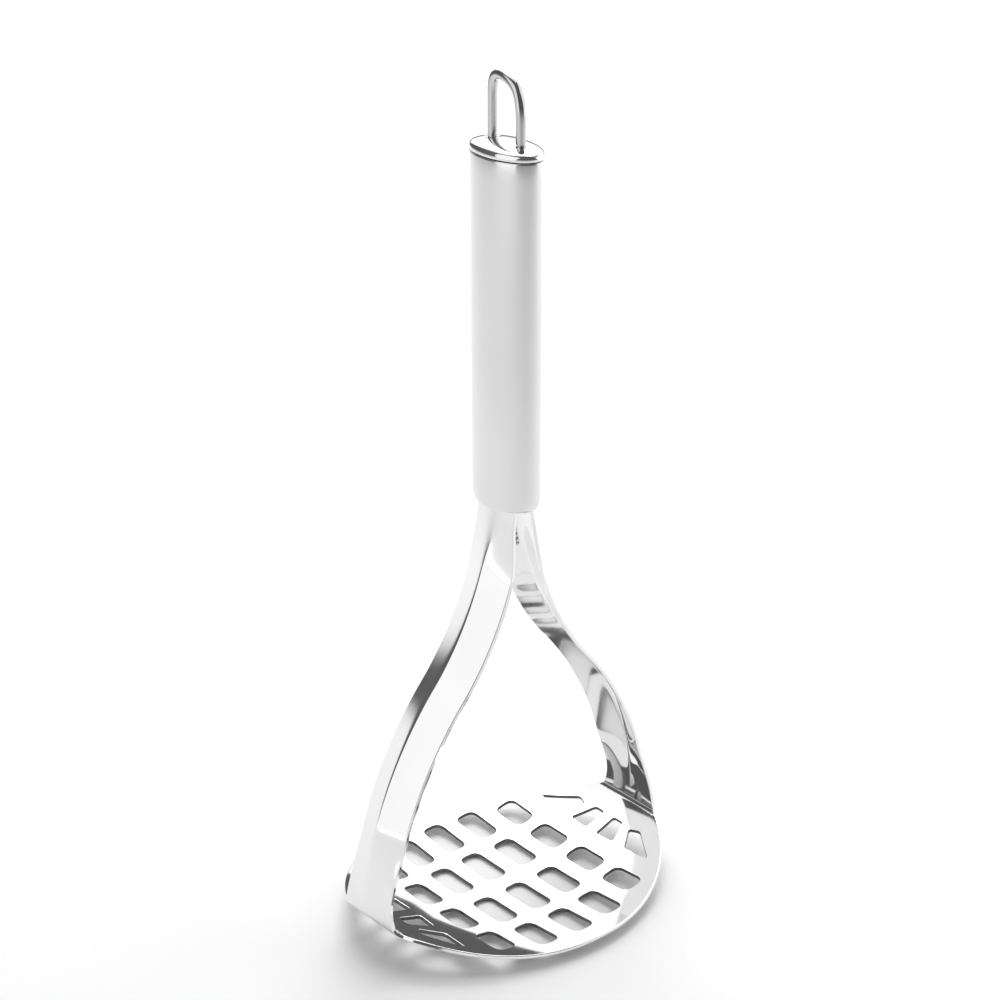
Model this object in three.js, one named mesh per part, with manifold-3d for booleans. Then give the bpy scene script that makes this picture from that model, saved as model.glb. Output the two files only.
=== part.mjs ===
// Stainless steel potato masher: a dished, slotted mashing plate carried by two ridged strap arms,
// which run together into the end of an oval tube handle. A domed cap closes the tube, and a wire
// loop stands up out of the cap.
//
// Millimetres, +Z up. The origin is on the handle's axis at the lowest point of the plate.
// The arms lie to -X (left) and +X (right) of the handle, and the plate's short side runs along Y.

import * as THREE from 'three';
import { mergeVertices } from 'three/addons/utils/BufferGeometryUtils.js';
import Module from 'manifold-3d';

const wasm = await Module();
wasm.setup();

// ---- Driving dimensions -------------------------------------------------------------------

const SHEET = 1.2; // steel sheet of the plate and the arms
const GAP = 0.3; // clearance between pieces that touch

const PLATE = {
  halfLength: 49.7, // handle axis to the end of the plate, just inside the arm
  sideRadius: 57.2, // both long sides are arcs of this radius
  sideCentre: 14.8, // each arc's centre lies this far past the plate's middle
  flatHalfX: 6.2, // the middle strip that rests on the table is flat
  flatHalfY: 5,
  riseRadiusX: 103, // outside it the plate curls up towards the arms ...
  riseRadiusY: 257, // ... and more gently towards its long sides
  sideSteps: 56, // facets along each long side
};

const SLOT = { width: 7, cornerRadius: 2.7, cornerSteps: 3 };

// One entry for each column of slots in the right half, mirrored to the left half and front to back.
const SLOT_COLUMNS = [
  { x: 0, innerY: 10.3, innerLength: 14.8, outerY: 29.0, outerLength: 13.8 },
  { x: 12.5, innerY: 10.0, innerLength: 14.2, outerY: 28.1, outerLength: 13.2 },
  { x: 25, innerY: 8.3, innerLength: 11.9, outerY: 24.5, outerLength: 11.5 },
];

// The four-cornered slots that fan out at each end of the plate: corners in the +X +Y quarter.
const FAN_SLOTS = [
  [[35.0, 2.3], [42.6, 2.1], [42.6, 6.2], [35.4, 9.4]],
  [[35.4, 14.6], [41.7, 9.9], [42.8, 13.6], [36.0, 24.0]],
];
const FAN_CORNER_RADIUS = 1;

const ARM = {
  halfWidth: 9.3,
  neckHalfWidth: 7.8, // the strap narrows towards the handle
  neckTaper: [108, 124], // between these heights
  ridgeDepth: 3.7, // height of the ridge along the middle of the strap
  neckRidgeDepth: 1.5, // the strap is pressed almost flat where it enters the handle
  neckFlattening: [104, 124], // between these heights
  ridgeFadeHeight: 26, // the ridge fades out over this height above the fold
  footHalfWidth: 11.3, // the strap flares out where it joins the plate
  flareHeight: 14,
  footX: 51.2, // outer face at the fold
  footZ: 9.9,
  neckX: 4.85, // ridge line where the arms run into the handle
  neckZ: 126,
  tangTop: 143, // the strap's end inside the handle
  shoulder: [[6.6, 116.8], [10.5, 94.5]], // [x, z] the ridge line leans towards below the neck ...
  middle: [26.7, 76.3], // ... a point on it half way down ...
  belly: [[41.3, 59.85], [55.4, 31.7]], // ... and where it leans below that, bowed outwards
  stations: 30, // steps along the strap
};

const HANDLE = {
  topHalfX: 7.5,
  topHalfY: 12.6,
  bottomHalfX: 7.3,
  bottomHalfY: 12.1,
  mouthHalfX: 7.2, // the lower end is drawn in around the neck of the arms
  mouthHalfY: 10.6,
  wall: 0.8,
  bottomZ: 126.8,
  shoulderHeight: 3.4,
  topZ: 226.4,
  sides: 48,
};

const CAP = {
  brimHeight: 1.0,
  domeHeight: 2.4,
  spigotDepth: 5,
  spigotWall: 1.0,
  sheet: 1.0,
  domeSteps: 6,
  holeSides: 16,
};

const LOOP = {
  wire: 2.8,
  legY: 5.7,
  footZ: 222.5, // the legs end under the cap
  nearShoulderZ: 235.5, // the leg towards -Y starts to bend in here ...
  farShoulderZ: 242, // ... and the other one here, so the arch slopes down towards -Y
  crownY: -1, // a point on the wire's centre line on top of the arch
  crownZ: 246.2,
  crownNearPull: [-3.4, -1.4], // [y, z] from the crown: how the arch leans on either side of it
  crownFarPull: [2.8, 1.15],
  nearShoulderPull: 6, // how far each leg carries straight on before the arch takes over
  farShoulderPull: 6.4,
  steps: 44,
  sides: 20,
};

const PLUG = { bottomZ: 129, topZ: 141, sideInset: 0.9 };

// ---- Materials ----------------------------------------------------------------------------

const steel = (colour, roughness) =>
  new THREE.MeshStandardMaterial({ color: colour, roughness, metalness: 1 });

const mirrorSteel = () => steel(0xdcdddf, 0.08);
const satinSteel = () => steel(0xc9cacc, 0.34);
const polishedSteel = () => steel(0xe2e3e5, 0.14);
const plainSteel = () => steel(0x8e9094, 0.5);

// ---- Solids and booleans ------------------------------------------------------------------

/** A geometry with only positions, its coinciding vertices merged. */
function bare(geometry) {
  const copy = geometry.clone();
  for (const name of Object.keys(copy.attributes)) {
    if (name !== 'position') copy.deleteAttribute(name);
  }
  return mergeVertices(copy, 1e-4);
}

function toManifold(geometry) {
  const closed = bare(geometry);
  return new wasm.Manifold(new wasm.Mesh({
    numProp: 3,
    vertProperties: new Float32Array(closed.attributes.position.array),
    triVerts: new Uint32Array(closed.index.array),
  }));
}

function fromManifold(solid) {
  const mesh = solid.getMesh();
  const geometry = new THREE.BufferGeometry();
  geometry.setAttribute('position', new THREE.BufferAttribute(mesh.vertProperties, 3));
  geometry.setIndex(new THREE.BufferAttribute(mesh.triVerts, 1));
  return geometry;
}

/** Moves every vertex of a geometry to where `place(x, y, z)` puts it. */
function bend(geometry, place) {
  const solid = bare(geometry);
  const position = solid.attributes.position;
  for (let i = 0; i < position.count; i += 1) {
    position.setXYZ(i, ...place(position.getX(i), position.getY(i), position.getZ(i)));
  }
  return solid;
}

/** A closed polygon with its corners rounded. */
function roundedPolygon(corners, radius) {
  const points = corners.map(([x, y]) => new THREE.Vector2(x, y));
  const shape = new THREE.Shape();
  points.forEach((corner, i) => {
    const before = points[(i + points.length - 1) % points.length];
    const after = points[(i + 1) % points.length];
    const start = corner.clone().add(before.clone().sub(corner).setLength(radius));
    const end = corner.clone().add(after.clone().sub(corner).setLength(radius));
    if (i === 0) shape.moveTo(start.x, start.y);
    else shape.lineTo(start.x, start.y);
    shape.quadraticCurveTo(corner.x, corner.y, end.x, end.y);
  });
  shape.closePath();
  return shape;
}

const mirrored = (corners, signX, signY) => corners.map(([x, y]) => [x * signX, y * signY]);

// ---- Mashing plate ------------------------------------------------------------------------

/** How far the plate has curled up at a point, from its flat middle. */
function plateRise(x, y) {
  const outX = Math.max(0, Math.abs(x) - PLATE.flatHalfX);
  const outY = Math.max(0, Math.abs(y) - PLATE.flatHalfY);
  return outX ** 2 / (2 * PLATE.riseRadiusX) + outY ** 2 / (2 * PLATE.riseRadiusY);
}

/** The plate's outline: two shallow arcs, cut off square where the arms fold up. */
function plateOutline() {
  const { halfLength, sideRadius, sideCentre } = PLATE;
  const sweep = Math.asin(halfLength / sideRadius);
  const shape = new THREE.Shape();
  const quarter = Math.PI / 2;
  shape.absarc(0, -sideCentre, sideRadius, quarter - sweep, quarter + sweep, false);
  shape.absarc(0, sideCentre, sideRadius, -quarter - sweep, -quarter + sweep, false);
  shape.closePath();
  return shape;
}

function slotShapes() {
  const shapes = [];
  const half = SLOT.width / 2;
  for (const column of SLOT_COLUMNS) {
    const rows = [
      [column.innerY, column.innerLength],
      [column.outerY, column.outerLength],
    ];
    for (const signX of column.x === 0 ? [1] : [-1, 1]) {
      for (const signY of [-1, 1]) {
        for (const [y, length] of rows) {
          const [cx, cy] = [column.x * signX, y * signY];
          const corners = [
            [cx - half, cy - length / 2],
            [cx + half, cy - length / 2],
            [cx + half, cy + length / 2],
            [cx - half, cy + length / 2],
          ];
          shapes.push(roundedPolygon(corners, SLOT.cornerRadius));
        }
      }
    }
  }
  for (const corners of FAN_SLOTS) {
    for (const signX of [-1, 1]) {
      for (const signY of [-1, 1]) {
        shapes.push(roundedPolygon(mirrored(corners, signX, signY), FAN_CORNER_RADIUS));
      }
    }
  }
  return shapes;
}

/** A straight-sided cutter, from well below the plate to well above it. */
function throughCutter(shape, curveSegments) {
  const height = 40;
  const options = { depth: height, bevelEnabled: false, curveSegments };
  const cutter = new THREE.ExtrudeGeometry(shape, options);
  cutter.translate(0, 0, -height / 4);
  return toManifold(cutter);
}

function mashingPlate() {
  const cellsX = 18;
  const cellsY = 9;
  const cellX = PLATE.flatHalfX; // so that a row of vertices lies on each edge of the flat middle
  const cellY = 2 * PLATE.flatHalfY;
  const blank = new THREE.BoxGeometry(cellsX * cellX, cellsY * cellY, SHEET, cellsX, cellsY, 1);
  const dished = bend(blank, (x, y, z) => [x, y, z + SHEET / 2 + plateRise(x, y)]);
  let plate = toManifold(dished).intersect(throughCutter(plateOutline(), PLATE.sideSteps / 2));
  for (const slot of slotShapes()) plate = plate.subtract(throughCutter(slot, SLOT.cornerSteps));
  return fromManifold(plate);
}

// ---- Arms ---------------------------------------------------------------------------------

/** The ridge line of the right arm's outer face, from the tang's top down to the fold. */
function ridgeLine() {
  const at = ([x, z]) => new THREE.Vector2(x, z);
  const neck = at([ARM.neckX, ARM.neckZ]);
  const middle = at(ARM.middle);
  const line = new THREE.CurvePath();
  line.add(new THREE.LineCurve(at([ARM.neckX, ARM.tangTop]), neck));
  line.add(new THREE.CubicBezierCurve(neck, ...ARM.shoulder.map(at), middle));
  line.add(new THREE.CubicBezierCurve(middle, ...ARM.belly.map(at), at([ARM.footX, ARM.footZ])));
  return line;
}

/** How deep the strap is ridged at a height: it rises from flat at the fold and sinks at the neck. */
function ridgeDepth(z) {
  const { lerp, smoothstep } = THREE.MathUtils;
  const risen = smoothstep(z, ARM.footZ, ARM.footZ + ARM.ridgeFadeHeight);
  return risen * lerp(ARM.ridgeDepth, ARM.neckRidgeDepth, smoothstep(z, ...ARM.neckFlattening));
}

/** Half the strap's width at a height: it flares into the fold and narrows to the neck. */
function armHalfWidth(z) {
  const up = Math.min(1, (z - ARM.footZ) / ARM.flareHeight);
  const flare = (ARM.footHalfWidth - ARM.halfWidth) * (1 - up) ** 2;
  const taper = (ARM.halfWidth - ARM.neckHalfWidth) * THREE.MathUtils.smoothstep(z, ...ARM.neckTaper);
  return ARM.halfWidth + flare - taper;
}

/** The right arm: a flat strip bent along the ridge line and creased along its middle. */
function arm() {
  const line = ridgeLine();
  const strip = new THREE.BoxGeometry(1, 2, 1, 1, 4, ARM.stations);
  return bend(strip, (across, side, along) => {
    const t = 0.5 - along;
    const ridge = line.getPointAt(t);
    const tangent = line.getTangentAt(t);
    const inward = new THREE.Vector2(tangent.y, -tangent.x);
    const depth = ridgeDepth(ridge.y) * Math.abs(side);
    const point = ridge.clone().addScaledVector(inward, depth + SHEET * (0.5 - across));
    return [point.x, side * armHalfWidth(ridge.y), point.y];
  });
}

// ---- Neck plug ----------------------------------------------------------------------------

/** The filler between the two strap ends, inside the mouth of the handle. */
function neckPlug() {
  const slope = Math.hypot(ARM.neckRidgeDepth, ARM.neckHalfWidth) / ARM.neckHalfWidth;
  const halfX = ARM.neckX - (SHEET + GAP) * slope;
  const halfY = ARM.neckHalfWidth - PLUG.sideInset;
  const tipX = halfX - (ARM.neckRidgeDepth * halfY) / ARM.neckHalfWidth;
  const section = new THREE.Shape([
    new THREE.Vector2(halfX, 0),
    new THREE.Vector2(tipX, halfY),
    new THREE.Vector2(-tipX, halfY),
    new THREE.Vector2(-halfX, 0),
    new THREE.Vector2(-tipX, -halfY),
    new THREE.Vector2(tipX, -halfY),
  ]);
  const depth = PLUG.topZ - PLUG.bottomZ;
  const plug = new THREE.ExtrudeGeometry(section, { depth, bevelEnabled: false });
  return plug.translate(0, 0, PLUG.bottomZ);
}

// ---- Handle tube --------------------------------------------------------------------------

/** The half widths of the handle's outside at a height. */
function handleHalfWidths(z) {
  const { bottomZ, shoulderHeight, topZ } = HANDLE;
  const shoulderZ = bottomZ + shoulderHeight;
  const up = THREE.MathUtils.clamp((z - shoulderZ) / (topZ - shoulderZ), 0, 1);
  const drop = THREE.MathUtils.clamp((shoulderZ - z) / shoulderHeight, 0, 1);
  const drawnIn = 1 - Math.sqrt(1 - drop ** 2);
  const halfX = THREE.MathUtils.lerp(HANDLE.bottomHalfX, HANDLE.topHalfX, up);
  const halfY = THREE.MathUtils.lerp(HANDLE.bottomHalfY, HANDLE.topHalfY, up);
  return [
    THREE.MathUtils.lerp(halfX, HANDLE.mouthHalfX, drawnIn),
    THREE.MathUtils.lerp(halfY, HANDLE.mouthHalfY, drawnIn),
  ];
}

/** A round turned solid of radius 1, made oval: each ring takes the half widths for its height. */
function ovalTurned(profile, halfWidthsAt) {
  const turned = new THREE.LatheGeometry(profile, HANDLE.sides).rotateX(Math.PI / 2);
  return bend(turned, (x, y, z) => {
    const [halfX, halfY] = halfWidthsAt(z);
    return [x * halfX, y * halfY, z];
  });
}

/** A solid oval bar between two heights, with a ring at each of the heights in between. */
function ovalBar(heights, halfWidthsAt) {
  const rings = heights.map((z) => new THREE.Vector2(1, z));
  const profile = [new THREE.Vector2(0, heights[0]), ...rings, new THREE.Vector2(0, heights.at(-1))];
  return ovalTurned(profile, halfWidthsAt);
}

/** Heights up the handle: close together round the shoulder, and one at the top. */
function handleHeights(bottom, top) {
  const { bottomZ, shoulderHeight } = HANDLE;
  const shoulder = [0, 0.1, 0.3, 0.5, 0.75, 1].map((step) => bottomZ + shoulderHeight * step ** 1.5);
  return [bottom, ...shoulder.filter((z) => z > bottom + 0.01), top];
}

function handleTube() {
  const { bottomZ, topZ, wall } = HANDLE;
  const outside = ovalBar(handleHeights(bottomZ, topZ), handleHalfWidths);
  const boreWidths = (z) => handleHalfWidths(z).map((r) => r - wall);
  const inside = ovalBar(handleHeights(bottomZ - 1, topZ + 1), boreWidths);
  return fromManifold(toManifold(outside).subtract(toManifold(inside)));
}

// ---- End cap ------------------------------------------------------------------------------

/** The cap is a pressed shell: a domed top over a skirt that plugs into the tube. */
function endCap() {
  const { topZ, wall } = HANDLE;
  const base = topZ + GAP;
  const brim = base + CAP.brimHeight;
  const dome = [];
  for (let i = 0; i < CAP.domeSteps; i += 1) {
    const angle = (Math.PI / 2) * (i / CAP.domeSteps);
    dome.push(new THREE.Vector2(Math.cos(angle), brim + CAP.domeHeight * Math.sin(angle)));
  }
  dome.push(new THREE.Vector2(0, brim + CAP.domeHeight));
  const topWidths = () => [HANDLE.topHalfX, HANDLE.topHalfY];
  const skirtWidths = () => topWidths().map((r) => r - wall - GAP);
  const hollowWidths = () => skirtWidths().map((r) => r - CAP.spigotWall);
  const lid = ovalTurned(
    [new THREE.Vector2(0, base), new THREE.Vector2(1, base), ...dome],
    topWidths,
  );
  const skirt = ovalBar([topZ - CAP.spigotDepth, base + CAP.sheet / 2], skirtWidths);
  const hollow = ovalBar([topZ - CAP.spigotDepth - 1, base + CAP.sheet], hollowWidths);
  let cap = toManifold(lid).add(toManifold(skirt)).subtract(toManifold(hollow));
  for (const side of [-1, 1]) {
    const radius = LOOP.wire / 2 + GAP;
    const hole = new THREE.CylinderGeometry(radius, radius, 4 * CAP.spigotDepth, CAP.holeSides);
    hole.rotateX(Math.PI / 2).translate(0, side * LOOP.legY, topZ);
    cap = cap.subtract(toManifold(hole));
  }
  return fromManifold(cap);
}

// ---- Hanging loop -------------------------------------------------------------------------

/** The wire's centre line: up the leg towards -Y, over a sloping arch and down the other leg. */
function loopLine() {
  const at = (y, z) => new THREE.Vector3(0, y, z);
  const { legY, footZ, nearShoulderZ, farShoulderZ, crownY, crownZ } = LOOP;
  const fromCrown = ([y, z]) => at(crownY + y, crownZ + z);
  const nearShoulder = at(-legY, nearShoulderZ);
  const farShoulder = at(legY, farShoulderZ);
  const crown = at(crownY, crownZ);
  const nearLead = at(-legY, nearShoulderZ + LOOP.nearShoulderPull);
  const farLead = at(legY, farShoulderZ + LOOP.farShoulderPull);
  const line = new THREE.CurvePath();
  line.add(new THREE.LineCurve3(at(-legY, footZ), nearShoulder));
  line.add(new THREE.CubicBezierCurve3(nearShoulder, nearLead, fromCrown(LOOP.crownNearPull), crown));
  line.add(new THREE.CubicBezierCurve3(crown, fromCrown(LOOP.crownFarPull), farLead, farShoulder));
  line.add(new THREE.LineCurve3(farShoulder, at(legY, footZ)));
  return line;
}

function hangingLoop() {
  const section = new THREE.Shape().absarc(0, 0, LOOP.wire / 2, 0, 2 * Math.PI, false);
  return new THREE.ExtrudeGeometry(section, {
    steps: LOOP.steps,
    curveSegments: LOOP.sides / 2,
    extrudePath: loopLine(),
    bevelEnabled: false,
  });
}

// ---- Assembly -----------------------------------------------------------------------------

const masher = new THREE.Group();

function addPiece(name, geometry, material, turn = 0) {
  const mesh = new THREE.Mesh(geometry, material);
  mesh.name = name;
  mesh.rotation.z = turn;
  masher.add(mesh);
}

addPiece('mashing_plate', mashingPlate(), mirrorSteel());
addPiece('right_arm', arm(), mirrorSteel());
addPiece('left_arm', arm(), mirrorSteel(), Math.PI);
addPiece('neck_plug', neckPlug(), plainSteel());
addPiece('handle_tube', handleTube(), satinSteel());
addPiece('end_cap', endCap(), polishedSteel());
addPiece('hanging_loop', hangingLoop(), polishedSteel());

export default masher;
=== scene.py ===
"""A stainless steel potato masher: one pressed head, an oval satin handle, a domed cap and a wire loop.

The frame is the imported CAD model's: +Z up, with the origin on the handle's axis at the plate's lowest
point. Shapes are worked out in millimetres and turned into metres as each mesh is made.
"""

import math

import bmesh
import bpy
import numpy as np
from mathutils import Matrix, Vector, geometry


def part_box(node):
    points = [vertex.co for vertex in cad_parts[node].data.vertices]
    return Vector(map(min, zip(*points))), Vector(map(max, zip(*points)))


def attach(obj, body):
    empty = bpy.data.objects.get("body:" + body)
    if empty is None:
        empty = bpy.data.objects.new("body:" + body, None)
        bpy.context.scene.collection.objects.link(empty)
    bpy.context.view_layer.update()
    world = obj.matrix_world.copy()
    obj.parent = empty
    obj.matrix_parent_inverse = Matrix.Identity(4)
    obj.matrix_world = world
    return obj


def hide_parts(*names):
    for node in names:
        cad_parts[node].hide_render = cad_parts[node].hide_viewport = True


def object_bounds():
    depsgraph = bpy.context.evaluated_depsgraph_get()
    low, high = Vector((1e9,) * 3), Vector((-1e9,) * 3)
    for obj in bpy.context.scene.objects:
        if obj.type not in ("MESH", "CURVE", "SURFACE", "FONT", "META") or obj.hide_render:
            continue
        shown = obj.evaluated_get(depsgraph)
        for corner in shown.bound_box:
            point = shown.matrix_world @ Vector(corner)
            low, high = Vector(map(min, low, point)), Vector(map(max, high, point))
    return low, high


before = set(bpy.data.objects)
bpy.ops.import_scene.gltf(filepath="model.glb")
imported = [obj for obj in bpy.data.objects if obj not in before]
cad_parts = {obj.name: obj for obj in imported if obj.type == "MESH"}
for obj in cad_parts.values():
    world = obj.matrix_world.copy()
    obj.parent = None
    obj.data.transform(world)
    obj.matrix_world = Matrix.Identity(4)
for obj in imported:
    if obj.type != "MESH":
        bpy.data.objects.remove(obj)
CAD_LOW, CAD_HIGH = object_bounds()

MM = 0.001

# ---- Driving dimensions, in millimetres ---------------------------------------------------------

SHEET = 1.2
EDGE_RADIUS = 0.28  # every sheet edge is tumbled round

PLATE = {
    "side_radius": 57.2,
    "side_centre": 14.8,
    "flat_half_x": 6.2,
    "flat_half_y": 5.0,
    "rise_radius_x": 103.0,
    "rise_radius_y": 257.0,
}
SLOT_WIDTH = 7.0
SLOT_CORNER = 2.7
# column x, then the middle and length of its inner and its outer slot
SLOT_COLUMNS = [
    (0.0, 10.3, 14.8, 29.0, 13.8),
    (12.5, 10.0, 14.2, 28.1, 13.2),
    (25.0, 8.3, 11.9, 24.5, 11.5),
]
FAN_SLOTS = [
    [(35.0, 2.3), (42.6, 2.1), (42.6, 6.2), (35.4, 9.4)],
    [(35.4, 14.6), (41.7, 9.9), (42.8, 13.6), (36.0, 24.0)],
]
FAN_CORNER = 1.0

ARM = {
    "half_width": 9.3,
    "neck_half_width": 7.8,
    "taper": (108.0, 124.0),
    "ridge_depth": 3.7,
    "ridge_fade": 26.0,
    "neck_ridge_depth": 1.5,
    "flattening": (104.0, 124.0),
    "foot_half_width": 11.3,
    "flare": 14.0,
    "foot": (51.2, 9.9),
    "belly": [(55.4, 31.7), (41.3, 59.85)],
    "middle": (26.7, 76.3),
    "shoulder": [(10.5, 94.5), (6.6, 116.8)],
    "neck": (4.85, 126.0),
    "tang_top": 142.9,
}
FOLD_RADIUS = 2.6
CREASE = 0.055  # roundness of the ridge, as a share of the half width
NECK_CREASE = 0.3  # the strap is rounded off where it enters the handle
NECK_ROUNDING = (108.0, 122.0)

HANDLE = {
    "top": (7.5, 12.6),
    "bottom": (7.3, 12.1),
    "mouth": (7.2, 10.6),
    "wall": 0.8,
    "shoulder": 3.4,
}
CAP = {"gap": 0.3, "brim": 1.0, "dome": 2.4, "spigot_wall": 1.0, "sheet": 1.0, "dimple": 0.35}
LOOP = {
    "radius": 1.4,
    "leg_y": 5.7,
    "near_shoulder": 235.5,
    "far_shoulder": 242.0,
    "crown": (-1.0, 246.2),
    "near_lead": 6.0,
    "far_lead": 6.4,
    "near_pull": (-3.4, -1.4),
    "far_pull": (2.8, 1.15),
}


# ---- Mesh helpers -------------------------------------------------------------------------------


def smoothstep(value, low, high):
    share = np.clip((value - low) / (high - low), 0.0, 1.0)
    return share * share * (3 - 2 * share)


def smooth_max(a, b, softness):
    return (a + b + np.sqrt((a - b) ** 2 + softness**2)) / 2


def bezier(points, steps):
    """Points along a quadratic or cubic Bezier curve."""
    t = np.linspace(0, 1, steps + 1)[:, None]
    points = [np.asarray(point, float) for point in points]
    while len(points) > 1:
        points = [a + (b - a) * t for a, b in zip(points, points[1:])]
    return points[0]


def evenly(line, spacing):
    """The same line with its points evenly spaced."""
    steps = np.linalg.norm(np.diff(line, axis=0), axis=1)
    along = np.concatenate([[0], np.cumsum(steps)])
    wanted = np.linspace(0, along[-1], max(2, round(along[-1] / spacing) + 1))
    return np.stack([np.interp(wanted, along, column) for column in line.T], axis=1)


def add_piece(name, points, faces, material, nodes, normals=None):
    """One closed mesh from points in millimetres, riding on the masher in place of CAD nodes."""
    mesh = bpy.data.meshes.new(name)
    mesh.from_pydata([tuple(point) for point in np.asarray(points) * MM], [], faces)
    work = bmesh.new()
    work.from_mesh(mesh)
    bmesh.ops.recalc_face_normals(work, faces=work.faces)
    if normals is not None:
        bmesh.ops.join_triangles(
            work,
            faces=[face for face in work.faces if len(face.verts) == 3],
            angle_face_threshold=math.radians(20),
            angle_shape_threshold=math.radians(35),
        )
    work.to_mesh(mesh)
    work.free()
    mesh.shade_smooth()
    if normals is not None:
        mesh.normals_split_custom_set_from_vertices([tuple(normal) for normal in normals])
    mesh.materials.append(material)
    piece = bpy.data.objects.new(name, mesh)
    bpy.context.scene.collection.objects.link(piece)
    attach(piece, "root")
    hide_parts(*nodes)


def bridge(first, second):
    """Quads between two closed rings of vertex numbers."""
    count = len(first)
    return [
        (first[i], first[(i + 1) % count], second[(i + 1) % count], second[i]) for i in range(count)
    ]


def loft(rings, wraps=False):
    """Points and faces of a skin over equal rings, closed end to end or by a face at each end."""
    count = len(rings[0])
    numbers = [list(range(i * count, (i + 1) * count)) for i in range(len(rings))]
    pairs = list(zip(numbers, numbers[1:]))
    if wraps:
        pairs.append((numbers[-1], numbers[0]))
    faces = [face for first, second in pairs for face in bridge(first, second)]
    if not wraps:
        faces += [tuple(numbers[0][::-1]), tuple(numbers[-1])]
    return np.concatenate(rings), faces


# ---- Pressed sheet: a flat outline with holes, bent into shape ----------------------------------

EDGE_STEPS = 3


def outward(loop):
    """Unit normals on the right-hand side of a closed loop of points."""
    ahead = np.roll(loop, -1, axis=0) - loop
    ahead /= np.linalg.norm(ahead, axis=1)[:, None]
    both = ahead + np.roll(ahead, 1, axis=0)
    both /= np.linalg.norm(both, axis=1)[:, None]
    return np.stack([both[:, 1], -both[:, 0]], axis=1)


def inside(points, loop):
    """Which points lie inside a closed loop."""
    found = np.zeros(len(points), bool)
    for (x0, y0), (x1, y1) in zip(loop, np.roll(loop, -1, axis=0)):
        if y0 == y1:
            continue
        crosses = (points[:, 1] > y0) != (points[:, 1] > y1)
        at = x0 + (points[:, 1] - y0) * (x1 - x0) / (y1 - y0)
        found ^= crosses & (points[:, 0] < at)
    return found


def clear_of(points, loops, distance):
    keep = np.ones(len(points), bool)
    for loop in loops:
        low, high = loop.min(0) - distance, loop.max(0) + distance
        near = ((points > low) & (points < high)).all(1) & keep
        gaps = np.linalg.norm(points[near][:, None] - loop[None], axis=2).min(axis=1)
        keep[np.flatnonzero(near)[gaps < distance]] = False
    return keep


def pressed_sheet(outline, holes, fill, place, thickness):
    """Points, faces and normals of a sheet with rounded edges.

    outline runs anticlockwise and holes clockwise, so material is always on the left. place(flat, depth)
    gives the place of flat points, the sheet's inward normal and the two directions of the flat pattern.
    """
    loops = [outline, *holes]
    radius = EDGE_RADIUS
    quarter = np.linspace(0, math.pi / 2, EDGE_STEPS + 1)
    bottom_arc = [(a - math.pi / 2, radius * (1 - math.cos(a))) for a in quarter]
    top_arc = [(a, thickness - radius * (1 - math.sin(a))) for a in quarter]
    points, normals, faces = [], [], []
    first_rings, last_rings = [], []
    total = 0
    for loop in loops:
        away = outward(loop)
        previous = None
        for angle, depth in bottom_arc + top_arc:
            inset = radius * (1 - math.cos(angle))
            placed, inward, along, across = place(loop - away * inset, depth)
            edge = along * away[:, :1] + across * away[:, 1:]
            edge /= np.linalg.norm(edge, axis=1)[:, None]
            points.append(placed)
            normals.append(edge * math.cos(angle) + inward * math.sin(angle))
            numbers = list(range(total, total + len(loop)))
            total += len(loop)
            if previous:
                faces += bridge(previous, numbers)
            else:
                first_rings.append(numbers)
            previous = numbers
        last_rings.append(previous)
    inset_loops = [loop - outward(loop) * radius for loop in loops]
    flat = np.concatenate([*inset_loops, fill])
    edges = []
    start = 0
    for loop in inset_loops:
        edges += [(start + i, start + (i + 1) % len(loop)) for i in range(len(loop))]
        start += len(loop)
    found = geometry.delaunay_2d_cdt([Vector(point) for point in flat], edges, [], 0, 1e-6)
    corners = [original[0] for original in found[3]]
    triangles = np.array([[corners[i] for i in face] for face in found[2]])
    centres = flat[triangles].mean(axis=1)
    keep = inside(centres, inset_loops[0])
    for loop in inset_loops[1:]:
        keep &= ~inside(centres, loop)
    for rings, depth, facing in ((first_rings, 0.0, -1), (last_rings, thickness, 1)):
        placed, inward, _, _ = place(fill, depth)
        points.append(placed)
        normals.append(inward * facing)
        numbers = [number for ring in rings for number in ring]
        numbers += range(total, total + len(fill))
        total += len(fill)
        faces += [tuple(numbers[i] for i in triangle) for triangle in triangles[keep]]
    return np.concatenate(points), faces, np.concatenate(normals)


# ---- Pressed head: plate and both arms ----------------------------------------------------------

PROFILE_STEP = 0.1
CURVE_STEPS = 600
FOLD_STEPS = 24
FOLD_BLEND = 200  # stations over which the arm is eased onto the end of its fold
SLOPE_WINDOW = 9  # stations that the slope is averaged over


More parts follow.
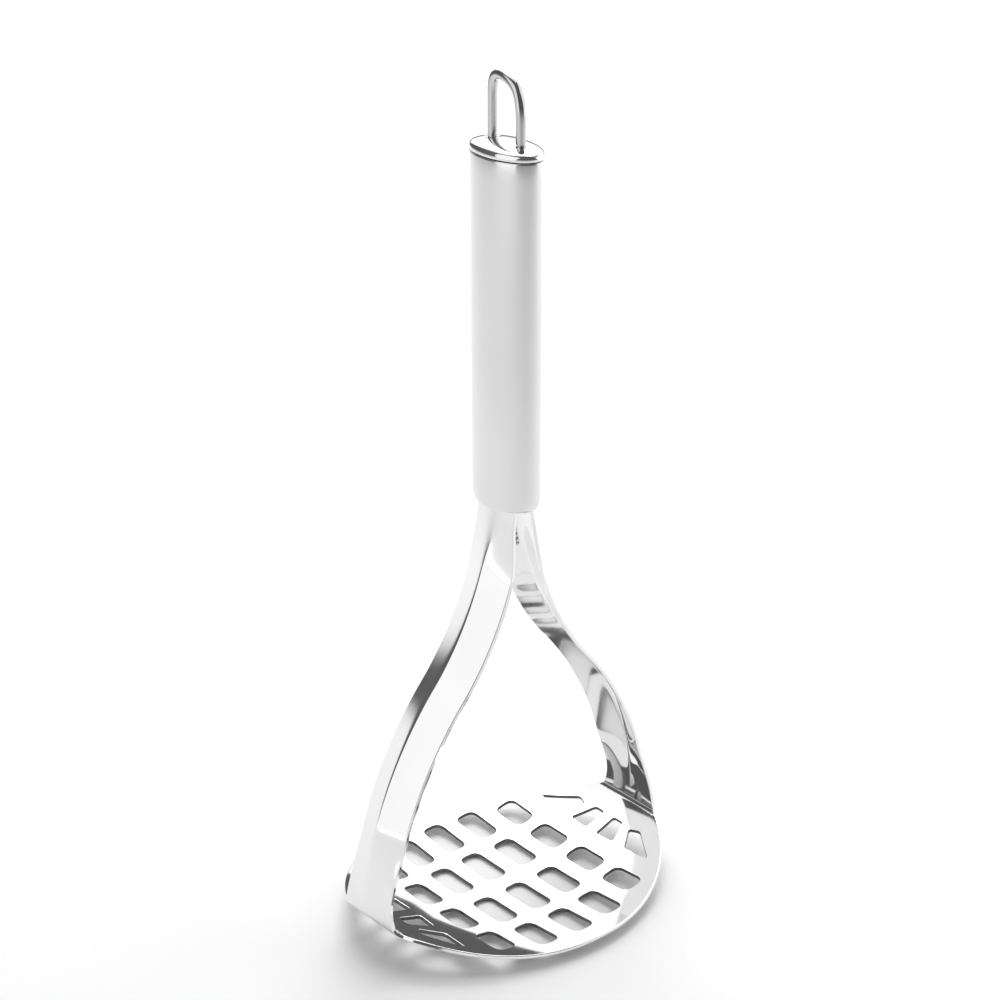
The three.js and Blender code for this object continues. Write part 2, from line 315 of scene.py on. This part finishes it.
def head_profile():
    """Stations from the middle of the plate to the tang: position, x, z and slope of the outer face."""
    foot = np.array(ARM["foot"])
    flat, rise = PLATE["flat_half_x"], PLATE["rise_radius_x"]
    slope_in = math.atan((foot[0] - flat) / rise)
    arm = np.concatenate(
        [
            bezier([foot, *ARM["belly"], ARM["middle"]], CURVE_STEPS),
            bezier([ARM["middle"], *ARM["shoulder"], ARM["neck"]], CURVE_STEPS)[1:],
            bezier([ARM["neck"], (ARM["neck"][0], ARM["tang_top"])], 60)[1:],
        ]
    )
    arm = evenly(arm, PROFILE_STEP)
    slope_out = math.atan2(*(arm[14] - arm[12])[::-1])
    setback = FOLD_RADIUS * math.tan((slope_out - slope_in) / 2)
    start = foot - setback * np.array([math.cos(slope_in), math.sin(slope_in)])
    start[1] = (start[0] - flat) ** 2 / (2 * rise)
    turn = np.linspace(slope_in, slope_out, FOLD_STEPS)
    sweep_x = start[0] + FOLD_RADIUS * (np.sin(turn) - math.sin(slope_in))
    sweep_z = start[1] + FOLD_RADIUS * (math.cos(slope_in) - np.cos(turn))
    arm = arm[round(setback / PROFILE_STEP) :]
    shift = np.array([sweep_x[-1], sweep_z[-1]]) - arm[0]
    arm = arm + shift * np.clip(1 - np.arange(len(arm)) / FOLD_BLEND, 0, 1)[:, None]
    plate_x = np.arange(0, start[0], PROFILE_STEP)
    plate_z = np.maximum(plate_x - flat, 0) ** 2 / (2 * rise)
    plate, sweep = np.stack([plate_x, plate_z], 1), np.stack([sweep_x, sweep_z], 1)
    line = np.concatenate([plate, sweep[1:], arm[1:]])
    steps = np.linalg.norm(np.diff(line, axis=0), axis=1)
    along = np.concatenate([[0], np.cumsum(steps)])
    # on the plate a station is its x, so that the flat pattern's holes keep their places
    station = np.where(np.arange(len(line)) < len(plate_x), line[:, 0], 0)
    beyond = np.arange(len(line)) >= len(plate_x)
    last = len(plate_x) - 1
    station[beyond] = line[last, 0] + along[beyond] - along[last]
    slope = np.unwrap(np.arctan2(np.gradient(line[:, 1], along), np.gradient(line[:, 0], along)))
    kernel = np.ones(SLOPE_WINDOW) / SLOPE_WINDOW
    margin = SLOPE_WINDOW // 2
    padded = np.concatenate([np.full(margin, slope[0]), slope, np.full(margin, slope[-1])])
    return station, line[:, 0], line[:, 1], np.convolve(padded, kernel, "valid")


STATION, PROFILE_X, PROFILE_Z, PROFILE_SLOPE = head_profile()
HEAD_END = STATION[-1]
PAST_FOLD = 3.0  # this far beyond the fold the plate's side arcs no longer count
NO_ARC = -10.0  # stands in for the arcs there, narrower than any strap
FLARE_IN_PLATE = 2.0
WIDTH_BLEND = 0.6
CURL_FADE = (46.0, 51.0)  # the plate's sideways curl dies out before the fold
ARM_START = 60.0  # every station past this one is on an arm
SLOPE_PROBE = 0.05


def head_half_width(station):
    """Half the flat pattern's width: the plate's side arcs, running into the flared strap."""
    x = np.interp(np.abs(station), STATION, PROFILE_X)
    z = np.interp(np.abs(station), STATION, PROFILE_Z)
    past_plate = np.abs(station) > ARM["foot"][0] + PAST_FOLD
    arc = np.sqrt(np.maximum(PLATE["side_radius"] ** 2 - x**2, 0)) - PLATE["side_centre"]
    arc = np.where(past_plate, NO_ARC, arc)
    up = np.minimum(1, (z - ARM["foot"][1]) / ARM["flare"])
    flare = (ARM["foot_half_width"] - ARM["half_width"]) * (1 - up) ** 2
    taper = (ARM["half_width"] - ARM["neck_half_width"]) * smoothstep(z, *ARM["taper"])
    strap = ARM["half_width"] + np.where(past_plate | (up > 0), flare, FLARE_IN_PLATE) - taper
    return smooth_max(arc, strap, WIDTH_BLEND)


def ridge(station, v):
    """How far the strap is pressed in from its ridge line: a rounded crease, fading out at the fold."""
    z = np.interp(np.abs(station), STATION, PROFILE_Z)
    on_arm = np.abs(station) > ARM["foot"][0]
    risen = smoothstep(z, ARM["foot"][1], ARM["foot"][1] + ARM["ridge_fade"]) * on_arm
    sunk = (ARM["ridge_depth"] - ARM["neck_ridge_depth"]) * smoothstep(z, *ARM["flattening"])
    crease = CREASE + (NECK_CREASE - CREASE) * smoothstep(z, *NECK_ROUNDING)
    share = np.abs(v) / head_half_width(station)
    bowed = (np.sqrt(share**2 + crease**2) - crease) / (np.sqrt(1 + crease**2) - crease)
    return (ARM["ridge_depth"] - sunk) * risen * bowed


def place_head(flat, depth):
    """Where the flat pattern's points go, on the sheet at a depth from its outer face."""
    side = np.where(flat[:, 0] < 0, -1.0, 1.0)
    station, v = np.abs(flat[:, 0]), flat[:, 1]
    x = np.interp(station, STATION, PROFILE_X)
    z = np.interp(station, STATION, PROFILE_Z)
    slope = np.interp(station, STATION, PROFILE_SLOPE)
    nose = np.stack([-np.sin(slope), 0 * slope, np.cos(slope)], axis=1)
    tangent = np.stack([np.cos(slope), 0 * slope, np.sin(slope)], axis=1)
    pressed = ridge(station, v)
    out_y = np.maximum(np.abs(v) - PLATE["flat_half_y"], 0)
    on_plate = 1 - smoothstep(x, *CURL_FADE) * (station < ARM_START) - (station >= ARM_START)
    curl = out_y**2 / (2 * PLATE["rise_radius_y"]) * on_plate
    step = SLOPE_PROBE
    pressed_along = (ridge(station + step, v) - ridge(station - step, v)) / (2 * step)
    pressed_across = (ridge(station, v + step) - ridge(station, v - step)) / (2 * step)
    curl_across = np.sign(v) * out_y / PLATE["rise_radius_y"] * on_plate
    along = tangent + nose * pressed_along[:, None]
    across = np.array([0, 1, 0]) + nose * pressed_across[:, None]
    across = across + np.array([0, 0, 1]) * curl_across[:, None]
    along /= np.linalg.norm(along, axis=1)[:, None]
    across /= np.linalg.norm(across, axis=1)[:, None]
    inward = np.cross(along, across)
    inward /= np.linalg.norm(inward, axis=1)[:, None]
    placed = np.stack([x, v, z + curl], axis=1) + nose * (pressed + depth)[:, None]
    mirror = np.stack([side, 1 + 0 * side, 1 + 0 * side], axis=1)
    return placed * mirror, inward * mirror, along * mirror * side[:, None], across * mirror


def rounded_loop(corners, corner_size, spacing):
    """A clockwise closed loop of points round a polygon whose corners are rounded."""
    corners = [np.array(corner, float) for corner in corners]
    pieces = []
    for i, corner in enumerate(corners):
        before, after = corners[i - 1], corners[(i + 1) % len(corners)]
        start = corner + (before - corner) / np.linalg.norm(before - corner) * corner_size
        end = corner + (after - corner) / np.linalg.norm(after - corner) * corner_size
        next_start = after + (corner - after) / np.linalg.norm(corner - after) * corner_size
        pieces.append(bezier([start, corner, end], 6))
        straight = evenly(np.array([end, next_start]), spacing)
        pieces.append(straight[1:-1])
    loop = np.concatenate([piece for piece in pieces if len(piece)])
    area = np.sum(loop[:, 0] * np.roll(loop[:, 1], -1) - np.roll(loop[:, 0], -1) * loop[:, 1])
    return loop[::-1] if area > 0 else loop


def plate_holes():
    holes = []
    half = SLOT_WIDTH / 2
    for column, *rows in SLOT_COLUMNS:
        for middle, length in (rows[:2], rows[2:]):
            low, high = middle - length / 2, middle + length / 2
            left, right = column - half, column + half
            box = [(left, low), (right, low), (right, high), (left, high)]
            for sign_x in (1,) if column == 0 else (-1, 1):
                for sign_y in (-1, 1):
                    holes.append(([(x * sign_x, y * sign_y) for x, y in box], SLOT_CORNER))
    for corners in FAN_SLOTS:
        for sign_x in (-1, 1):
            for sign_y in (-1, 1):
                holes.append(([(x * sign_x, y * sign_y) for x, y in corners], FAN_CORNER))
    return [rounded_loop(corners, size, 1.0) for corners, size in holes]


OUTLINE_SPACING = 1.1
FILL_SPACING = 1.3
FILL_HALF_X, FILL_HALF_Y = 46.0, 44.0
FOLD_END = 56.0
FOLD_SPACING = 0.45  # rows are closer together round the fold
END_MARGIN = 0.8
ROW_SHARES = [0.03, 0.06, 0.1, 0.15, 0.22, 0.32, 0.44, 0.56, 0.68, 0.8, 0.9]
GRID_CLEARANCE, ROW_CLEARANCE = 1.0, 0.6


def head_outline():
    step = OUTLINE_SPACING
    stations = evenly(np.array([[-HEAD_END, 0], [HEAD_END, 0]]), step)[:, 0]
    half = head_half_width(stations)
    near = evenly(np.stack([stations, -half], axis=1), step)
    end = head_half_width(HEAD_END)
    right = evenly(np.array([[HEAD_END, -end], [HEAD_END, end]]), step)[1:-1]
    far = -near
    return np.concatenate([near, right, far, -right])


def head_fill(loops):
    """Points inside the flat pattern: a square grid on the plate, rows across the arms."""
    spacing, reach = FILL_SPACING, FILL_HALF_X
    columns = np.arange(-reach, reach, spacing)
    x, y = np.meshgrid(columns, np.arange(-FILL_HALF_Y, FILL_HALF_Y, spacing))
    grid = np.stack([x.ravel(), y.ravel()], axis=1)
    shares = np.concatenate([-np.array(ROW_SHARES)[::-1], [0], ROW_SHARES])
    round_fold = np.arange(reach + END_MARGIN, FOLD_END, FOLD_SPACING)
    up_arm = np.arange(FOLD_END, HEAD_END - END_MARGIN, spacing)
    rows = []
    for station in np.concatenate([round_fold, up_arm]):
        half = head_half_width(station)
        for sign in (-1, 1):
            rows.append(np.stack([np.full(len(shares), station * sign), shares * half], axis=1))
    points = np.concatenate([grid, *rows])
    points = points[np.abs(points[:, 1]) < head_half_width(points[:, 0])]
    for hole in loops[1:]:
        points = points[~inside(points, hole)]
    on_grid = np.abs(points[:, 0]) < reach
    clear_on_grid = clear_of(points, loops, GRID_CLEARANCE)
    return points[np.where(on_grid, clear_on_grid, clear_of(points, loops, ROW_CLEARANCE))]


def build_head(material):
    loops = [head_outline(), *plate_holes()]
    points, faces, normals = pressed_sheet(loops[0], loops[1:], head_fill(loops), place_head, SHEET)
    nodes = ("mashing_plate", "left_arm", "right_arm")
    add_piece("pressed_head", points, faces, material, nodes, normals)


# ---- Handle tube --------------------------------------------------------------------------------

OVAL_SIDES = 128


def oval(half_x, half_y, z):
    turn = np.linspace(0, 2 * math.pi, OVAL_SIDES, endpoint=False)
    return np.stack([half_x * np.cos(turn), half_y * np.sin(turn), np.full(OVAL_SIDES, z)], axis=1)


def build_handle(material):
    low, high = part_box("handle_tube")
    bottom, top = low.z / MM, high.z / MM
    shoulder, wall = HANDLE["shoulder"], HANDLE["wall"]

    def ring(z, inset):
        up = np.clip((z - bottom - shoulder) / (top - bottom - shoulder), 0, 1)
        drop = np.clip((bottom + shoulder - z) / shoulder, 0, 1)
        drawn_in = 1 - math.sqrt(1 - drop**2)
        halves = []
        for axis in (0, 1):
            full = HANDLE["bottom"][axis] + (HANDLE["top"][axis] - HANDLE["bottom"][axis]) * up
            halves.append(full + (HANDLE["mouth"][axis] - full) * drawn_in - inset)
        return oval(*halves, z)

    curve = [bottom + shoulder * (1 - math.cos(a)) for a in np.linspace(0.14, math.pi / 2, 12)]
    straight = list(np.linspace(bottom + shoulder, top - 0.4, 20))[1:]
    rings = [ring(bottom, 0.35), ring(bottom + 0.02, 0.2)]
    rings += [ring(z, 0) for z in curve + straight]
    rings += [ring(top - 0.12, 0.04), ring(top - 0.03, 0.12), ring(top, 0.28)]
    rings += [ring(top, wall - 0.1), ring(top - 0.1, wall)]
    rings += [ring(z, wall) for z in (straight[::-1] + curve[::-1])]
    points, faces = loft(rings, wraps=True)
    add_piece("handle_shell", points, faces, material, ["handle_tube"])


# ---- End cap ------------------------------------------------------------------------------------


def build_cap(material):
    low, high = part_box("end_cap")
    base = high.z / MM - CAP["brim"] - CAP["dome"]
    half_x, half_y = HANDLE["top"]
    brim = base + CAP["brim"]

    def dimpled(ring):
        for sign in (-1, 1):
            gap = np.hypot(ring[:, 0], ring[:, 1] - sign * LOOP["leg_y"]) - LOOP["radius"]
            ring[:, 2] -= CAP["dimple"] * np.exp(-((gap / 0.5) ** 2))
        return ring

    rings = []
    for share in np.linspace(0.02, 1, 34):
        angle = math.acos(share) if share < 1 else 0
        dome = oval(half_x * share, half_y * share, brim + CAP["dome"] * math.sin(angle))
        rings.append(dimpled(dome))
    fit = HANDLE["wall"] + CAP["gap"]
    skirt_in = fit + CAP["spigot_wall"]
    foot, under = low.z / MM, base + CAP["sheet"]
    # from the brim's rounded edge in to the skirt, and up inside it
    for inset, z in (
        (0, brim - 0.4),
        (0, base + 0.15),
        (0.06, base + 0.04),
        (0.2, base),
        (fit, base - 0.02),
        (fit, foot),
        (skirt_in, foot),
        (skirt_in, under),
    ):
        rings.append(oval(half_x - inset, half_y - inset, z))
    rings.append(oval(0.1, 0.1, under))
    points, faces = loft(rings)
    add_piece("domed_cap", points, faces, material, ["end_cap"])


# ---- Hanging loop -------------------------------------------------------------------------------


def build_loop(material):
    low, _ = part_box("hanging_loop")
    foot = low.z / MM
    crown = np.array(LOOP["crown"])
    near, far = (-LOOP["leg_y"], LOOP["near_shoulder"]), (LOOP["leg_y"], LOOP["far_shoulder"])
    near_lead = (near[0], near[1] + LOOP["near_lead"])
    far_lead = (far[0], far[1] + LOOP["far_lead"])
    line = np.concatenate(
        [
            bezier([(near[0], foot), near], 40),
            bezier([near, near_lead, crown + LOOP["near_pull"], crown], 60)[1:],
            bezier([crown, crown + LOOP["far_pull"], far_lead, far], 60)[1:],
            bezier([far, (far[0], foot)], 40)[1:],
        ]
    )
    line = evenly(line, 0.45)
    ahead = np.gradient(line, axis=0)
    ahead /= np.linalg.norm(ahead, axis=1)[:, None]
    turn = np.linspace(0, 2 * math.pi, 28, endpoint=False)
    rings = []
    for i, ((y, z), (dy, dz)) in enumerate(zip(line, ahead)):
        radius = LOOP["radius"] * (0.75 if i in (0, len(line) - 1) else 1)
        side = radius * np.sin(turn)
        rings.append(np.stack([radius * np.cos(turn), y - dz * side, z + dy * side], axis=1))
    points, faces = loft(rings)
    add_piece("wire_loop", points, faces, material, ["hanging_loop"])


# ---- Materials ----------------------------------------------------------------------------------

STRAP_HAZE = 0.015
SLOT_WALL_PAINTED_SHADE = (0.16, 0.155, 0.15)  # painted shade: a dark base colour on the slot walls, standing in for the shaded floor under the plate that they reflect


def new_material(name):
    material = bpy.data.materials.new(name)
    material.use_nodes = True
    nodes, links = material.node_tree.nodes, material.node_tree.links
    return material, nodes, links, nodes["Principled BSDF"]


def object_noise(nodes, links, stretch, scale, detail, roughness=0.5):
    """A noise texture over the object's own coordinates, stretched by a factor along each axis."""
    coordinates = nodes.new("ShaderNodeTexCoord")
    mapping = nodes.new("ShaderNodeMapping")
    mapping.inputs["Scale"].default_value = stretch
    noise = nodes.new("ShaderNodeTexNoise")
    noise.inputs["Scale"].default_value = scale
    noise.inputs["Detail"].default_value = detail
    noise.inputs["Roughness"].default_value = roughness
    links.new(coordinates.outputs["Object"], mapping.inputs["Vector"])
    links.new(mapping.outputs["Vector"], noise.inputs["Vector"])
    return noise.outputs["Fac"]


def ranged(nodes, links, value, low, high, from_low=0.3, from_high=0.7):
    remap = nodes.new("ShaderNodeMapRange")
    remap.inputs["From Min"].default_value = from_low
    remap.inputs["From Max"].default_value = from_high
    remap.inputs["To Min"].default_value = low
    remap.inputs["To Max"].default_value = high
    links.new(value, remap.inputs["Value"])
    return remap.outputs["Result"]


def maths(nodes, links, operation, *values):
    node = nodes.new("ShaderNodeMath")
    node.operation = operation
    for i, value in enumerate(values):
        if isinstance(value, (int, float)):
            node.inputs[i].default_value = value
        else:
            links.new(value, node.inputs[i])
    return node.outputs["Value"]


def tinted(nodes, links, value, dark, light):
    ramp = nodes.new("ShaderNodeValToRGB")
    ramp.color_ramp.elements[0].position = 0.3
    ramp.color_ramp.elements[0].color = (*dark, 1)
    ramp.color_ramp.elements[1].position = 0.7
    ramp.color_ramp.elements[1].color = (*light, 1)
    links.new(value, ramp.inputs["Fac"])
    return ramp.outputs["Color"]


def bumped(nodes, links, value, strength, distance, shader):
    bump = nodes.new("ShaderNodeBump")
    bump.inputs["Strength"].default_value = strength
    bump.inputs["Distance"].default_value = distance
    links.new(value, bump.inputs["Height"])
    links.new(bump.outputs["Normal"], shader.inputs["Normal"])


PLATE_TOP = 10.5 * MM  # every slot lies below this height
PLATE_HALF_LENGTH = 45.5 * MM
RIM_MARGIN = 2.0  # the sheet's own rim is left out of the painted shade
WALL_NORMAL = (0.6, 0.85)


def shaded_slot_walls(nodes, links):
    """1 on the walls of the plate's slots, which get painted shade and extra roughness, 0 elsewhere on
    the head.
    """
    coordinates = nodes.new("ShaderNodeTexCoord")
    normal = nodes.new("ShaderNodeSeparateXYZ")
    links.new(coordinates.outputs["Normal"], normal.inputs["Vector"])
    place = nodes.new("ShaderNodeSeparateXYZ")
    links.new(coordinates.outputs["Object"], place.inputs["Vector"])
    x, y, z = (place.outputs[axis] for axis in "XYZ")
    lean = maths(nodes, links, "ABSOLUTE", normal.outputs["Z"])
    upright = ranged(nodes, links, lean, 1, 0, *WALL_NORMAL)
    low = maths(nodes, links, "LESS_THAN", z, PLATE_TOP)
    out_x = maths(nodes, links, "ABSOLUTE", x)
    along = maths(nodes, links, "LESS_THAN", out_x, PLATE_HALF_LENGTH)
    out_y = maths(nodes, links, "ADD", maths(nodes, links, "ABSOLUTE", y), PLATE["side_centre"] * MM)
    squares = [maths(nodes, links, "MULTIPLY", value, value) for value in (x, out_y)]
    reach = (PLATE["side_radius"] - RIM_MARGIN) * MM
    within = maths(nodes, links, "LESS_THAN", maths(nodes, links, "ADD", *squares), reach**2)
    for test in (low, along, within):
        upright = maths(nodes, links, "MULTIPLY", upright, test)
    return upright


def strap_haze(nodes, links):
    """The straps are a little less finely polished than the plate: extra roughness above its rim."""
    coordinates = nodes.new("ShaderNodeTexCoord")
    place = nodes.new("ShaderNodeSeparateXYZ")
    links.new(coordinates.outputs["Object"], place.inputs["Vector"])
    return ranged(nodes, links, place.outputs["Z"], 0, STRAP_HAZE, 0.03, 0.06)


def polished(name, dark, light, gloss, head_with_slot_shade=False):
    """Polished sheet: a faint haze of finger wear and fine scratches left by washing up, and on the head
    painted shade on the slot walls.
    """
    material, nodes, links, shader = new_material(name)
    shader.inputs["Metallic"].default_value = 1
    haze = object_noise(nodes, links, (1, 1, 1), 55, 3)
    colour = tinted(nodes, links, haze, dark, light)
    roughness = ranged(nodes, links, haze, *gloss)
    if head_with_slot_shade:
        # Painted shade: a dark base colour on the slot walls stands in for the shaded floor under the
        # plate that they reflect; their extra roughness is for the sheared steel.
        shaded_walls = shaded_slot_walls(nodes, links)
        mix = nodes.new("ShaderNodeMix")
        mix.data_type = "RGBA"
        links.new(shaded_walls, mix.inputs["Factor"])
        links.new(colour, mix.inputs["A"])
        mix.inputs["B"].default_value = (*SLOT_WALL_PAINTED_SHADE, 1)
        colour = mix.outputs["Result"]
        roughness = maths(nodes, links, "MULTIPLY_ADD", shaded_walls, 0.3, roughness)
        roughness = maths(nodes, links, "ADD", roughness, strap_haze(nodes, links))
    links.new(colour, shader.inputs["Base Color"])
    links.new(roughness, shader.inputs["Roughness"])
    scratches = object_noise(nodes, links, (1, 14, 2), 420, 2, 0.7)
    bumped(nodes, links, scratches, 0.02, 0.00002, shader)
    return material


def satin(name):
    """Satin tube: hairline grain round the handle and a slow drift in its colour."""
    material, nodes, links, shader = new_material(name)
    shader.inputs["Metallic"].default_value = 1
    grain = object_noise(nodes, links, (1, 1, 40), 260, 4, 0.65)
    drift = object_noise(nodes, links, (1, 1, 0.4), 40, 2)
    colour = tinted(nodes, links, drift, (0.70, 0.70, 0.71), (0.76, 0.76, 0.77))
    links.new(colour, shader.inputs["Base Color"])
    links.new(ranged(nodes, links, grain, 0.12, 0.17), shader.inputs["Roughness"])
    bumped(nodes, links, grain, 0.03, 0.00003, shader)
    return material


def plain(name):
    """Unpolished steel inside the mouth of the handle."""
    material, nodes, links, shader = new_material(name)
    shader.inputs["Metallic"].default_value = 1
    mottle = object_noise(nodes, links, (1, 1, 1), 300, 4)
    colour = tinted(nodes, links, mottle, (0.36, 0.36, 0.37), (0.5, 0.5, 0.51))
    links.new(colour, shader.inputs["Base Color"])
    links.new(ranged(nodes, links, mottle, 0.4, 0.6), shader.inputs["Roughness"])
    bumped(nodes, links, mottle, 0.2, 0.0001, shader)
    return material


# ---- Studio -------------------------------------------------------------------------------------
# Azimuth 0 is towards -Y and 90 towards +X.

LIGHT_AIM = Vector((0, 0, 0.1))
CAMERA_ANGLES = (-40.465, 24.118, 0.04)  # azimuth, elevation and roll, in degrees
CAMERA_DISTANCE = 0.6905
CAMERA_AIM = (0.0105, 0.0149, -0.0057)  # from the handle's axis, half way up the CAD box
FOCAL_LENGTH = 86.4


def soft_box(name, azimuth, elevation, distance, width, height, power):
    """A rectangular area light aimed at the middle of the masher."""
    light = bpy.data.lights.new(name, "AREA")
    light.shape = "RECTANGLE"
    light.size, light.size_y = width, height
    light.energy = power
    box = bpy.data.objects.new(name, light)
    turn, lift = math.radians(azimuth), math.radians(elevation)
    away = Vector((math.sin(turn) * math.cos(lift), -math.cos(turn) * math.cos(lift), math.sin(lift)))
    box.location = LIGHT_AIM + away * distance
    box.rotation_mode = "QUATERNION"
    box.rotation_quaternion = away.to_track_quat("Z", "Y")
    bpy.context.scene.collection.objects.link(box)


def build_floor():
    """The pale floor that the masher stands on."""
    size = 12.0
    mesh = bpy.data.meshes.new("floor")
    corners = [(-size, -size, 0), (size, -size, 0), (size, size, 0), (-size, size, 0)]
    mesh.from_pydata(corners, [], [(0, 1, 2, 3)])
    material, nodes, links, shader = new_material("pale_floor")
    speckle = object_noise(nodes, links, (1, 1, 1), 900, 2)
    colour = tinted(nodes, links, speckle, (0.93, 0.93, 0.93), (0.95, 0.95, 0.95))
    links.new(colour, shader.inputs["Base Color"])
    shader.inputs["Roughness"].default_value = 0.9
    shader.inputs["Specular IOR Level"].default_value = 0.0
    mesh.materials.append(material)
    floor = bpy.data.objects.new("floor", mesh)
    floor.location.z = -0.0002
    bpy.context.scene.collection.objects.link(floor)


def build_world(brightness):
    world = bpy.data.worlds.new("studio")
    world.use_nodes = True
    world.node_tree.nodes["Background"].inputs["Color"].default_value = (1, 1, 1, 1)
    world.node_tree.nodes["Background"].inputs["Strength"].default_value = brightness
    bpy.context.scene.world = world


def build_camera():
    azimuth, elevation, roll = (math.radians(angle) for angle in CAMERA_ANGLES)
    x, y, z = CAMERA_AIM
    aim = Vector((x, y, (CAD_LOW.z + CAD_HIGH.z) / 2 + z))
    level = math.cos(elevation)
    back = Vector((math.sin(azimuth) * level, -math.cos(azimuth) * level, math.sin(elevation)))
    right = Vector((math.cos(azimuth), math.sin(azimuth), 0))
    up = back.cross(right)
    cos_roll, sin_roll = math.cos(roll), math.sin(roll)
    right, up = right * cos_roll + up * sin_roll, up * cos_roll - right * sin_roll
    lens = bpy.data.cameras.new("camera")
    lens.lens = FOCAL_LENGTH
    lens.sensor_width = 36
    lens.clip_start, lens.clip_end = 0.01, 50
    camera = bpy.data.objects.new("camera", lens)
    turned = Matrix((right, up, back)).transposed().to_4x4()
    camera.matrix_world = Matrix.Translation(aim + back * CAMERA_DISTANCE) @ turned
    bpy.context.scene.collection.objects.link(camera)
    bpy.context.scene.camera = camera


# ---- Scene --------------------------------------------------------------------------------------

build_camera()
build_world(0.12)
build_floor()
# azimuth and elevation in degrees, distance, width and height in metres, power in watts
soft_box("far_light", 140, 60, 2.4, 1.5, 1.5, 26)
soft_box("top_light", 140, 62, 1.25, 1.5, 1.5, 7.5)
soft_box("back_light", 140, 30, 1.3, 1.4, 0.9, 4.5)
soft_box("right_light", 70, 20, 1.1, 1.8, 1.2, 8)
soft_box("left_light", -92, 24, 1.1, 1.0, 1.3, 4.2)

BRIGHT = (0.84, 0.84, 0.845)
head_steel = polished("mirror_steel", (0.80, 0.80, 0.805), BRIGHT, (0.045, 0.075), head_with_slot_shade=True)
cap_steel = polished("polished_steel", (0.78, 0.78, 0.785), BRIGHT, (0.09, 0.14))
wire_steel = polished("drawn_wire", (0.56, 0.56, 0.565), (0.64, 0.64, 0.645), (0.12, 0.18))
build_head(head_steel)
build_handle(satin("satin_steel"))
build_cap(cap_steel)
build_loop(wire_steel)
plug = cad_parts["neck_plug"]
plug.data.materials.clear()
plug.data.materials.append(plain("plain_steel"))

bpy.context.scene.view_settings.view_transform = "Standard"

bpy.context.view_layer.update()
